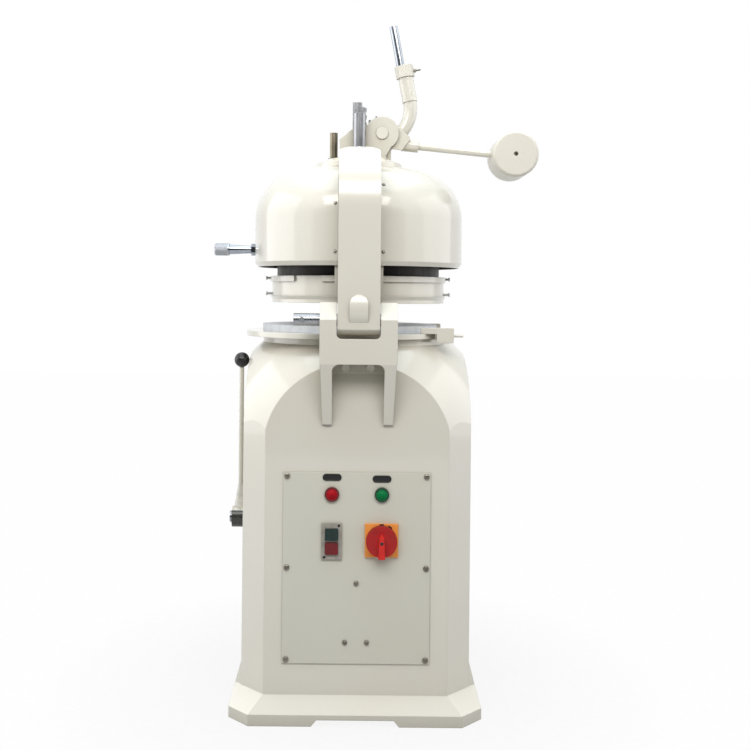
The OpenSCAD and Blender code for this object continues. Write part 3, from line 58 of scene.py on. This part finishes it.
class Finish:
    """A material: its Principled shader, and short calls for the nodes that feed it."""

    def __init__(self, name, **constants):
        self.material = bpy.data.materials.new(name)
        self.material.use_nodes = True
        self.tree = self.material.node_tree
        self.shader = self.tree.nodes["Principled BSDF"]
        self.put(**constants)
        self.place = self.node("TexCoord").outputs["Object"]

    def feed(self, socket, value):
        if isinstance(value, bpy.types.NodeSocket):
            self.tree.links.new(value, socket)
        else:
            socket.default_value = value

    def put(self, **inputs):
        """Sets the shader's sockets; Base_Color stands for Base Color."""
        for key, value in inputs.items():
            self.feed(self.shader.inputs[key.replace("_", " ")], value)

    def node(self, kind, settings=None, **inputs):
        made = self.tree.nodes.new("ShaderNode" + kind)
        for key, value in (settings or {}).items():
            setattr(made, key, value)
        for key, value in inputs.items():
            self.feed(made.inputs[key.replace("_", " ")], value)
        return made

    def noise(self, scale, detail=3.0, stretch=None, roughness=0.55):
        """Noise with features of about 1/scale metres, drawn out along an axis by stretch."""
        place = self.place
        if stretch:
            place = self.node("Mapping", Vector=place, Scale=stretch).outputs["Vector"]
        made = self.node("TexNoise", Vector=place, Scale=scale, Detail=detail, Roughness=roughness)
        return made.outputs["Fac"]

    def span(self, value, low, high, to_low, to_high):
        """Maps low..high to to_low..to_high and holds it there."""
        names = dict(zip(("From_Min", "From_Max", "To_Min", "To_Max"), (low, high, to_low, to_high)))
        return self.node("MapRange", Value=value, **names).outputs["Result"]

    def mix(self, share, first, second):
        made = self.node("Mix", {"data_type": "RGBA"})
        self.feed(made.inputs[0], share)
        self.feed(made.inputs[6], first)
        self.feed(made.inputs[7], second)
        return made.outputs[2]

    def cavity(self, reach):
        """1 in crevices within reach metres, 0 in the open."""
        made = self.node("AmbientOcclusion", {"samples": 6}, Distance=reach)
        return self.span(made.outputs["AO"], 0.35, 0.95, 1.0, 0.0)

    def math(self, operation, first, second=0.0):
        made = self.node("Math", {"operation": operation})
        self.feed(made.inputs[0], first)
        self.feed(made.inputs[1], second)
        return made.outputs[0]

    def axis(self, name):
        return self.node("SeparateXYZ", Vector=self.place).outputs[name]

    def soften(self, radius):
        return self.node("Bevel", {"samples": 4}, Radius=radius).outputs["Normal"]

    def bump(self, height, depth, normal=None, strength=1.0):
        made = self.node("Bump", Height=height, Distance=depth, Strength=strength)
        if normal:
            self.feed(made.inputs["Normal"], normal)
        return made.outputs["Normal"]


def srgb(red, green, blue):
    """An 8-bit display colour as the linear colour that shaders take."""

    def linear(v):
        v /= 255
        return v / 12.92 if v <= 0.04045 else ((v + 0.055) / 1.055) ** 2.4

    return (linear(red), linear(green), linear(blue), 1.0)


def enamel(name, colour, tint, dirt_and_shade, roughness=0.22, coat=0.7, edge=0.0022):
    """Gloss machine paint over filled castings: faint drift of tone, fine specks of dirt, soft waves, and
    painted shade in recesses within 7 cm.
    """
    f = Finish(name, Coat_Weight=coat, Coat_Roughness=0.04)
    drift = f.span(f.noise(3, 2), 0.35, 0.65, 0.0, 1.0)
    speck = f.span(f.noise(300, 2), 0.74, 0.78, 0.0, 0.3)
    base = f.mix(drift, colour, tint)
    base = f.mix(speck, base, dirt_and_shade)
    # Painted shade: recesses within 7 cm are darkened towards the dirt colour, up to half, where shade
    # falls
    base = f.mix(f.span(f.cavity(0.07), 0.0, 1.0, 0.0, 0.5), base, dirt_and_shade)
    waves = f.bump(f.noise(9, 1), 0.0012, f.soften(edge), 0.25)
    peel = f.bump(f.noise(320, 1), 0.00004, waves, 0.3)
    f.put(Base_Color=base, Roughness=roughness, Normal=peel)
    f.feed(f.shader.inputs["Coat Normal"], waves)
    return f.material


def metal(name, colour, dark, roughness, grain=(1, 1, 0.02), scale=500, depth=0.00003, edge=0.0008):
    """Machined metal: fine tool lines along the grain, stains, dull corners, and colour darkened within 12
    mm of crevices.
    """
    f = Finish(name, Metallic=1.0)
    line = f.noise(scale, 3, stretch=grain)
    stain = f.span(f.noise(26, 5), 0.4, 0.75, 0.0, 0.5)
    base = f.mix(stain, colour, dark)
    base = f.mix(f.span(line, 0.35, 0.7, 0.0, 0.25), base, dark)
    base = f.mix(f.span(f.cavity(0.012), 0.0, 1.0, 0.0, 0.7), base, dark)
    rough = f.span(line, 0.3, 0.7, roughness * 0.75, roughness * 1.35)
    f.put(Base_Color=base, Roughness=rough, Normal=f.bump(line, depth, f.soften(edge), 0.5))
    return f.material


def moulded(name, colour, shade, roughness=0.38, grain=900, depth=0.00006, **extra):
    """Moulded plastic: fine spark grain, rubbed patches, and colour darkened within 6 mm of corners."""
    f = Finish(name, **extra)
    patch = f.span(f.noise(60, 4), 0.35, 0.7, 0.0, 1.0)
    base = f.mix(patch, colour, shade)
    base = f.mix(f.span(f.cavity(0.006), 0.0, 1.0, 0.0, 0.5), base, shade)
    rough = f.span(f.noise(90, 4), 0.3, 0.7, roughness * 0.75, roughness * 1.3)
    f.put(Base_Color=base, Roughness=rough, Normal=f.bump(f.noise(grain, 2), depth, f.soften(0.0006), 0.5))
    return f.material


CREAM = srgb(234, 231, 221)
CREAM_WARM = srgb(232, 228, 216)
# Colour of the dirt specks on the cream paint, and of its painted shade in recesses
CREAM_DIRT_AND_SHADE = srgb(150, 143, 124)
INK = srgb(24, 25, 28)
STEEL = srgb(168, 170, 174)
STEEL_DARK = srgb(96, 96, 99)
EVEN = (1, 1, 1)

FINISHES = {
    "cream_paint": enamel("cream_paint_finish", CREAM, CREAM_WARM, CREAM_DIRT_AND_SHADE),
    "panel_paint": enamel(
        "panel_paint_finish", srgb(224, 223, 211), srgb(221, 219, 206), CREAM_DIRT_AND_SHADE, 0.4, 0.1
    ),
    "bright_steel": metal("bright_steel_finish", STEEL, STEEL_DARK, 0.26),
    "chrome": metal("chrome_finish", srgb(176, 182, 190), srgb(104, 110, 120), 0.12, scale=260),
    "dark_casting": metal(
        "dark_casting_finish", srgb(70, 68, 64), srgb(38, 37, 35), 0.55, grain=EVEN, depth=0.0003
    ),
    "drum_metal": metal("drum_metal_finish", srgb(50, 49, 47), srgb(30, 30, 29), 0.42, grain=(1, 1, 0.1)),
    "bronze": metal("bronze_finish", srgb(190, 150, 92), srgb(120, 88, 52), 0.3),
    "black_plastic": moulded("black_plastic_finish", srgb(14, 14, 16), srgb(24, 25, 27), 0.34),
    "grey_plastic": moulded("grey_plastic_finish", srgb(176, 172, 163), srgb(150, 146, 138)),
    "red_plastic": moulded("red_plastic_finish", srgb(164, 14, 20), srgb(148, 10, 18), 0.24),
    "green_plastic": moulded("green_plastic_finish", srgb(8, 44, 38), srgb(6, 34, 30), 0.42),
    "orange_plastic": moulded("orange_plastic_finish", srgb(255, 168, 76), srgb(252, 154, 62), 0.34),
    "red_lens": moulded(
        "red_lens_finish", srgb(178, 18, 32), srgb(164, 12, 26), 0.5, 300, Specular_IOR_Level=0.15
    ),
    "green_lens": moulded(
        "green_lens_finish", srgb(0, 128, 70), srgb(0, 116, 62), 0.5, 300, Specular_IOR_Level=0.15
    ),
    "plate_plastic": moulded(
        "plate_plastic_finish", srgb(214, 217, 222), srgb(196, 201, 210), 0.4, grain=500
    ),
    "belt_rubber": moulded("belt_rubber_finish", srgb(30, 30, 30), srgb(46, 45, 43), 0.7),
}


def bezel(name, left, right):
    """Tinted plastic of the two lamps' bezels: one colour at the panel's left, the other at its right."""
    f = Finish(name, Roughness=0.2)
    side = f.span(f.axis("X"), -0.001, 0.001, 0.0, 1.0)
    scuff = f.span(f.noise(240, 3), 0.55, 0.8, 0.0, 0.3)
    base = f.mix(scuff, f.mix(side, left, right), INK)
    f.put(Base_Color=base, Normal=f.bump(f.noise(700, 2), 0.00003, f.soften(0.0008), 0.4))
    return f.material


def painted_ends(name, half):
    """Steel between two planes at half from the middle, and the machine's paint on the ends outside."""
    f = Finish(name, Roughness=0.26)
    paint = f.span(f.math("ABSOLUTE", f.axis("Y")), half, half + 0.0005, 0.0, 1.0)
    steel = f.mix(f.span(f.noise(40, 4), 0.4, 0.7, 0.0, 0.6), STEEL, STEEL_DARK)
    cream = f.mix(f.span(f.noise(30, 3), 0.35, 0.65, 0.0, 1.0), CREAM, CREAM_WARM)
    f.put(Base_Color=f.mix(paint, steel, cream), Metallic=f.span(paint, 0.0, 1.0, 1.0, 0.0))
    f.put(Normal=f.bump(f.noise(320, 1), 0.00004, f.soften(0.0008), 0.3))
    return f.material


def knurled(name, colour, dark, centre_z, grip_x, teeth=70, slant=1800):
    """Turned metal with a diamond knurl on the part beyond grip_x; the axis runs along X at a height."""
    f = Finish(name, Metallic=1.0)
    turn = (0.0, math.pi / 2, 0.0)
    flat = f.node("VectorMath", {"operation": "SUBTRACT"})
    f.feed(flat.inputs[0], f.place)
    f.feed(flat.inputs[1], (0.0, 0.0, centre_z))
    turned = f.node("Mapping", Vector=flat.outputs["Vector"], Rotation=turn).outputs["Vector"]
    angle = f.node("TexGradient", {"gradient_type": "RADIAL"}, Vector=turned).outputs["Fac"]
    round_about = f.math("MULTIPLY", angle, 2 * math.pi * teeth)
    along = f.math("MULTIPLY", f.axis("X"), slant)
    one = f.math("SINE", f.math("ADD", round_about, along))
    other = f.math("SINE", f.math("SUBTRACT", round_about, along))
    diamond = f.math("MULTIPLY", one, other)
    grip = f.span(f.axis("X"), grip_x, grip_x + 0.001, 1.0, 0.0)
    height = f.math("MULTIPLY", diamond, grip)
    # Painted shade: the knurl's valleys, which are only a bump, are darkened towards the dark colour
    base = f.mix(f.span(height, -0.8, 0.4, 0.5, 0.0), colour, dark)
    rough = f.span(grip, 0.0, 1.0, 0.24, 0.5)
    f.put(Base_Color=base, Roughness=rough, Normal=f.bump(height, 0.0002, f.soften(0.0006), 0.6))
    return f.material


def two_tone(name, axis, split, low, high, roughness=0.24):
    """Gloss plastic or paint that changes colour at a plane across an axis."""
    f = Finish(name)
    side = f.span(f.axis(axis), split - 0.0008, split + 0.0008, 0.0, 1.0)
    rub = f.span(f.noise(70, 4), 0.35, 0.7, 0.0, 0.25)
    base = f.mix(rub, f.mix(side, low, high), INK)
    rough = f.span(f.noise(90, 4), 0.3, 0.7, roughness * 0.8, roughness * 1.3)
    f.put(Base_Color=base, Roughness=rough, Normal=f.bump(f.noise(900, 2), 0.00005, f.soften(0.0008), 0.5))
    return f.material


SCREW = metal("screw_finish", srgb(156, 150, 141), srgb(66, 62, 55), 0.3, grain=EVEN, scale=700)

# Planes at which a node changes its finish
GRIP_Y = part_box("isolator_knob")[0].y + 12.5 * MM
HUB_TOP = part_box("shift_fork")[1].z + 4 * MM
LOCK_Z = (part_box("lock_knob")[0].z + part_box("lock_knob")[1].z) / 2
BRACKET_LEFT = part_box("hinge_bracket")[0].x
KNURL_END_X = -0.287
PINION_PAINT_Y = 0.026

NODE_FINISHES = {
    "pilot_lamps": bezel("bezel_finish", srgb(104, 20, 24), srgb(6, 62, 38)),
    "pinion": painted_ends("pinion_finish", PINION_PAINT_Y),
    "lock_knob": knurled(
        "knurled_finish", srgb(178, 181, 187), srgb(104, 106, 111), LOCK_Z, KNURL_END_X
    ),
    "stud_post": metal("stud_finish", srgb(150, 142, 124), srgb(84, 76, 60), 0.3),
    "bracket_bolts": two_tone("bolt_finish", "X", BRACKET_LEFT, srgb(150, 153, 158), CREAM),
    "ring_screws": metal("ring_screw_finish", srgb(214, 214, 212), srgb(170, 170, 168), 0.5),
    "dome_screws": SCREW,
    "stop_button": moulded("stop_finish", srgb(120, 14, 24), srgb(100, 10, 18), 0.4),
    "handle_bar": FINISHES["chrome"],
    # Painted light and shade on one red knob: the raised grip brighter orange-red, the disc behind it
    # darker red
    "isolator_knob": two_tone(
        "isolator_knob_finish", "Y", GRIP_Y, srgb(232, 40, 32), srgb(140, 4, 14), 0.5
    ),
    "lever_rod": FINISHES["cream_paint"],
    "lever_collar": enamel("collar_paint_finish", CREAM, CREAM_WARM, CREAM_DIRT_AND_SHADE, 0.5, 0.0),
    "counterweight": enamel(
        "weight_paint_finish", CREAM, CREAM_WARM, CREAM_DIRT_AND_SHADE, 0.4, 0.1, edge=0.004
    ),
    # Dark below HUB_TOP, cream above: partly a dark hub, partly painted shade for the hub's underside
    "lever_hub": two_tone("lever_hub_finish", "Z", HUB_TOP, srgb(58, 60, 56), CREAM),
}

for name, node in NODES.items():
    for slot in node.material_slots:
        slot.material = NODE_FINISHES.get(name) or FINISHES[slot.material.name]


def add_piece(name, mesh, body, finish, smooth_deg=35):
    """Puts a mesh, made in the shared frame, on a body with a finish."""
    piece = bpy.data.objects.new(name, mesh)
    bpy.context.scene.collection.objects.link(piece)
    mesh.materials.append(finish)
    mesh.shade_smooth()
    mesh.set_sharp_from_angle(angle=math.radians(smooth_deg))
    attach(piece, body)
    return piece


def facing(at, out, up=(0, 0, 1)):
    """A frame at a point whose third axis points out of the surface and whose second is up."""
    third = Vector(out).normalized()
    first = Vector(up).cross(third).normalized()
    turn = Matrix((first, third.cross(first), third)).transposed().to_4x4()
    return Matrix.Translation(Vector(at)) @ turn


def finished(bm, name):
    bmesh.ops.recalc_face_normals(bm, faces=bm.faces)
    mesh = bpy.data.meshes.new(name)
    bm.to_mesh(mesh)
    bm.free()
    return mesh


def skin(bm, rings):
    """Faces between closed rings of points, and over the first and last ring."""
    count = len(rings[0])
    for low, high in zip(rings, rings[1:]):
        for i in range(count):
            j = (i + 1) % count
            bm.faces.new((low[i], low[j], high[j], high[i]))
    bm.faces.new(reversed(rings[0]))
    bm.faces.new(rings[-1])


def lathe(bm, profile, place, turns=40):
    """A closed solid of revolution about the place's third axis; profile is (radius, height) pairs."""
    rings = []
    for radius, height in profile:
        ring = []
        for i in range(turns):
            a = 2 * math.pi * i / turns
            ring.append(bm.verts.new(place @ Vector((radius * math.cos(a), radius * math.sin(a), height))))
        rings.append(ring)
    skin(bm, rings)


def tablet(bm, half_w, half_h, corner, rise, rim, place, steps=8):
    """A thin plate with round corners, a rounded edge and a sunk field inside a rim."""

    def outline(inset, height):
        r = max(corner - inset, 0.05 * MM)
        ring = []
        for k, (sx, sy) in enumerate(((1, 1), (-1, 1), (-1, -1), (1, -1))):
            cx, cy = sx * (half_w - corner), sy * (half_h - corner)
            for i in range(steps + 1):
                a = math.pi / 2 * (k + i / steps)
                at = Vector((cx + r * math.cos(a), cy + r * math.sin(a), height))
                ring.append(bm.verts.new(place @ at))
        return ring

    edge = 0.35 * rise
    skin(bm, [
        outline(0, 0), outline(0, rise - edge), outline(0.3 * edge, rise - 0.3 * edge), outline(edge, rise),
        outline(edge + rim, rise), outline(edge + rim + 0.25 * rise, 0.7 * rise),
    ])


def cross_head(bm, radius, rise, place, spokes=4, arm=0.2, reach=0.62, deep=0.55):
    """A domed screw head with a cross recess: rings round the star of the recess, then its sunk floor."""
    sides = spokes * 8
    star = []
    for i in range(sides):
        a = 2 * math.pi * i / sides
        near = (a + math.pi / spokes) % (2 * math.pi / spokes) - math.pi / spokes
        far = min(reach, arm / max(abs(math.sin(near)), 1e-6))
        star.append((a, far))

    def ring(size, height):
        return [bm.verts.new(place @ Vector((size(a, r) * math.cos(a), size(a, r) * math.sin(a), height)))
                for a, r in star]

    skin(bm, [
        ring(lambda a, r: radius, 0.0),
        ring(lambda a, r: 0.97 * radius, 0.45 * rise),
        ring(lambda a, r: 0.86 * radius, 0.78 * rise),
        ring(lambda a, r: 0.70 * radius, 0.97 * rise),
        ring(lambda a, r: r * radius, rise),
        ring(lambda a, r: 0.8 * r * radius, rise * (1 - deep)),
    ])


def islands(node):
    """The boxes of a CAD node's separate solids, from left to right: (lowest corner, highest corner)."""
    bm = bmesh.new()
    bm.from_mesh(NODES[node].data)
    bmesh.ops.remove_doubles(bm, verts=bm.verts, dist=1e-6)
    left = set(bm.verts)
    boxes = []
    while left:
        grown = {left.pop()}
        edge = list(grown)
        while edge:
            vert = edge.pop()
            for link in vert.link_edges:
                far = link.other_vert(vert)
                if far not in grown:
                    grown.add(far)
                    edge.append(far)
        left -= grown
        points = [v.co for v in grown]
        boxes.append(tuple(Vector([pick(p[i] for p in points) for i in range(3)]) for pick in (min, max)))
    bm.free()
    return sorted(boxes, key=lambda box: tuple(box[0]))


FRONT = Vector((0, -1, 0))
PANEL_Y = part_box("control_panel")[0].y
BLACK = FINISHES["black_plastic"]
SCREW_SMOOTH_DEG = 25

# Heights of the label plates over their lamps, and half the plates' size
LABEL_RISE = {"label_plate_left": ("red_lens", 33 * MM), "label_plate_right": ("green_lens", 30.5 * MM)}
LABEL_HALF_W = 18.6 * MM
LABEL_HALF_H = 6.9 * MM
LABEL_CORNER = 6.8 * MM
LABEL_T = 1.5 * MM
LABEL_RIM = 1.1 * MM

# Fittings of the two switches: places from the middle, and sizes
SWITCH_SCREW_X = 14.2 * MM
SWITCH_SCREW_Z = 31 * MM
SWITCH_SCREW_R = 2.7 * MM
SWITCH_SCREW_H = 1.2 * MM
MARK_TURNS_DEG = (0, -32)
MARK_OUT = 31.6 * MM
MARK_HALF_W = 4.4 * MM
MARK_HALF_H = 1.2 * MM
MARK_CORNER = 0.5 * MM
MARK_T = 0.25 * MM
MARK_RIM = 0.1 * MM
GRIP_SCREW_R = 3.3 * MM
GRIP_SCREW_H = 0.9 * MM

# Set screw of the lever's collar: where it comes out, which way, and its profile in mm
SET_SCREW_AT = (0.118, -0.008, 1.328)
SET_SCREW_OUT = (0.983, 0, 0.184)
SET_SCREW_NUT = [(4.2, -2), (4.2, 3.2), (3.6, 4), (2.1, 4)]
SET_SCREW_TIP = [(1.7, 14.4), (1.2, 15)]
THREADS = 10
THREAD_CREST = (2.1, 4.4)
THREAD_ROOT = (1.7, 4.9)


def make_panel_screws():
    """Pan-head screws with a cross recess, each turned its own way, where the solids have plain heads."""
    bm = bmesh.new()
    for k, (low, high) in enumerate(islands("panel_screws")):
        at = Vector(((low.x + high.x) / 2, PANEL_Y, (low.z + high.z) / 2))
        turn = Matrix.Rotation(0.7 * k, 4, "Z")
        cross_head(bm, (high.x - low.x) / 2, PANEL_Y - low.y, facing(at, FRONT) @ turn)
    mesh = finished(bm, "panel_screw_heads")
    piece = add_piece("panel_screw_heads", mesh, "base", SCREW, SCREW_SMOOTH_DEG)
    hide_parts("panel_screws")


def make_label_plates():
    """Two black plates with round ends over the lamps, left bare."""
    for name, (lens, rise) in LABEL_RISE.items():
        low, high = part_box(lens)
        at = ((low.x + high.x) / 2, PANEL_Y, (low.z + high.z) / 2 + rise)
        bm = bmesh.new()
        tablet(bm, LABEL_HALF_W, LABEL_HALF_H, LABEL_CORNER, LABEL_T, LABEL_RIM, facing(at, FRONT))
        add_piece(name, finished(bm, name), "base", BLACK)


def make_switch_screws():
    """Two small black screws in opposite corners of the push-button box."""
    low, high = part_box("switch_box")
    middle = (low + high) / 2
    bm = bmesh.new()
    for side in (1, -1):
        at = Vector((middle.x + side * SWITCH_SCREW_X, low.y, middle.z + side * SWITCH_SCREW_Z))
        cross_head(bm, SWITCH_SCREW_R, SWITCH_SCREW_H, facing(at, FRONT))
    mesh = finished(bm, "switch_screws")
    add_piece("switch_screws", mesh, "base", BLACK, SCREW_SMOOTH_DEG)


def make_isolator_marks():
    """Index dashes on the isolator's plate and the screw in the middle of its grip."""
    low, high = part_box("isolator_plate")
    middle = (low + high) / 2
    bm = bmesh.new()
    out = Matrix.Translation((0, MARK_OUT, 0))
    for turn_deg in MARK_TURNS_DEG:
        turn = Matrix.Rotation(math.radians(turn_deg), 4, "Z")
        place = facing((middle.x, low.y, middle.z), FRONT) @ turn @ out
        tablet(bm, MARK_HALF_W, MARK_HALF_H, MARK_CORNER, MARK_T, MARK_RIM, place)
    add_piece("isolator_marks", finished(bm, "isolator_marks"), "base", BLACK)
    grip_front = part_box("isolator_knob")[0].y
    bm = bmesh.new()
    cross_head(bm, GRIP_SCREW_R, GRIP_SCREW_H, facing((middle.x, grip_front, middle.z), FRONT))
    mesh = finished(bm, "isolator_screw")
    add_piece("isolator_screw", mesh, "isolator_knob", BLACK, SCREW_SMOOTH_DEG)


def make_set_screw():
    """The set screw in the lever's collar: a nut, then a thin threaded end."""
    profile = list(SET_SCREW_NUT)
    for k in range(THREADS):
        profile += [(r, h + k) for r, h in (THREAD_CREST, THREAD_ROOT)]
    profile += SET_SCREW_TIP
    bm = bmesh.new()
    lathe(bm, [(r * MM, h * MM) for r, h in profile], facing(SET_SCREW_AT, SET_SCREW_OUT), turns=20)
    mesh = finished(bm, "collar_set_screw")
    add_piece("collar_set_screw", mesh, "press_lever", SCREW, smooth_deg=30)


make_panel_screws()
make_label_plates()
make_switch_screws()
make_isolator_marks()
make_set_screw()


# Studio: lamp colours, the light from all round, and the floor, whose share of white grows with distance
COOL = (0.82, 0.93, 1.0)
WARM = (1.0, 0.98, 0.94)
WORLD_STRENGTH = 0.2
FLOOR_HALF = 8.0
SHADOW_FROM = 0.3
SHADOW_TO = 0.7
SHADOW_WHITE_SHARE = 0.9


def seen_rays(tree):
    """1 for rays from the camera, from mirror-like surfaces and through glass, which see the background."""
    path = tree.nodes.new("ShaderNodeLightPath")
    seen = path.outputs["Is Camera Ray"]
    for flag in ("Is Glossy Ray", "Is Transmission Ray"):
        most = tree.nodes.new("ShaderNodeMath")
        most.operation = "MAXIMUM"
        tree.links.new(seen, most.inputs[0])
        tree.links.new(path.outputs[flag], most.inputs[1])
        seen = most.outputs[0]
    return seen


def emission_floor():
    """A pale floor that keeps the shadow near the object and is the background's white further out."""
    f = Finish("floor_finish", Base_Color=srgb(180, 180, 179), Roughness=0.85)
    far = f.node("VectorMath", {"operation": "LENGTH"})
    f.feed(far.inputs[0], f.place)
    share = f.span(far.outputs["Value"], SHADOW_FROM, SHADOW_TO, SHADOW_WHITE_SHARE, 1.0)
    grain = f.span(f.noise(60, 3), 0.3, 0.7, 0.985, 1.0)
    glow = f.node("Emission", Strength=grain)
    mixed = f.node("MixShader")
    f.feed(mixed.inputs[0], f.math("MULTIPLY", seen_rays(f.tree), share))
    f.feed(mixed.inputs[1], f.shader.outputs[0])
    f.feed(mixed.inputs[2], glow.outputs[0])
    f.feed(f.tree.nodes["Material Output"].inputs["Surface"], mixed.outputs[0])
    return f.material


def stage_sheet(name, corners, material):
    """A flat four-cornered sheet that isn't part of the object."""
    mesh = bpy.data.meshes.new(name)
    mesh.from_pydata(corners, [], [(0, 1, 2, 3)])
    mesh.materials.append(material)
    sheet = bpy.data.objects.new(name, mesh)
    bpy.context.scene.collection.objects.link(sheet)
    return sheet


def make_floor():
    half = FLOOR_HALF
    corners = [(-half, -half, 0), (half, -half, 0), (half, half, 0), (-half, half, 0)]
    stage_sheet("floor", corners, emission_floor())


def make_dark_card():
    """A dark wall far behind the camera, low down, which gloss paint and metal mirror as dark bands."""
    half, top, back = 4.0, 2.15, -3.4
    corners = [(-half, back, 0), (half, back, 0), (half, back, top), (-half, back, top)]
    paint = Finish("card_finish", Base_Color=srgb(96, 94, 90), Roughness=0.9).material
    stage_sheet("dark_card", corners, paint).visible_camera = False


def make_world():
    """Soft light from all round; the camera and mirror-like metal see plain white."""
    world = bpy.data.worlds.new("studio")
    bpy.context.scene.world = world
    world.use_nodes = True
    tree = world.node_tree
    seen = seen_rays(tree)
    back = tree.nodes["Background"]
    back.inputs["Color"].default_value = (1, 1, 1, 1)
    back.inputs["Strength"].default_value = WORLD_STRENGTH
    white = tree.nodes.new("ShaderNodeBackground")
    white.inputs["Color"].default_value = (1, 1, 1, 1)
    mixed = tree.nodes.new("ShaderNodeMixShader")
    tree.links.new(seen, mixed.inputs[0])
    tree.links.new(back.outputs[0], mixed.inputs[1])
    tree.links.new(white.outputs[0], mixed.inputs[2])
    tree.links.new(mixed.outputs[0], tree.nodes["World Output"].inputs["Surface"])


def softbox(name, at, aim, size, watts, colour=(1, 1, 1)):
    data = bpy.data.lights.new(name, "AREA")
    data.shape = "RECTANGLE"
    data.size, data.size_y = size
    data.energy = watts
    data.color = colour
    lamp = bpy.data.objects.new(name, data)
    lamp.location = at
    lamp.rotation_euler = (Vector(aim) - Vector(at)).to_track_quat("-Z", "Y").to_euler()
    bpy.context.scene.collection.objects.link(lamp)


def make_camera():
    data = bpy.data.cameras.new("photo_camera")
    data.sensor_width = SENSOR_MM
    data.lens = FOCAL_PX * SENSOR_MM / IMAGE_PX
    data.shift_x = 0.5 - AXIS_PX / IMAGE_PX
    data.shift_y = HORIZON_PX / IMAGE_PX - 0.5
    camera = bpy.data.objects.new("photo_camera", data)
    level = Matrix.Rotation(math.pi / 2, 4, "X")
    camera.matrix_world = Matrix.Translation(CAMERA_AT) @ level @ Matrix.Rotation(CAMERA_ROLL, 4, "Z")
    bpy.context.scene.collection.objects.link(camera)
    bpy.context.scene.camera = camera


make_camera()
make_floor()
make_dark_card()
make_world()
softbox("key_light", at=(-0.1, -2.0, 2.35), aim=(0, -0.2, 1.05), size=(3.0, 0.9), watts=50, colour=WARM)
softbox("left_light", at=(-2.8, 0.2, 1.4), aim=(0, 0, 0.7), size=(2.4, 2.6), watts=34)
softbox("right_light", at=(2.8, 0.2, 1.4), aim=(0, 0, 0.7), size=(2.4, 2.6), watts=22)
softbox("top_light", at=(0, 0, 3.1), aim=(0, 0, 0.8), size=(3.2, 2.4), watts=42, colour=COOL)

bpy.context.scene.view_settings.view_transform = "Standard"
bpy.context.view_layer.update()
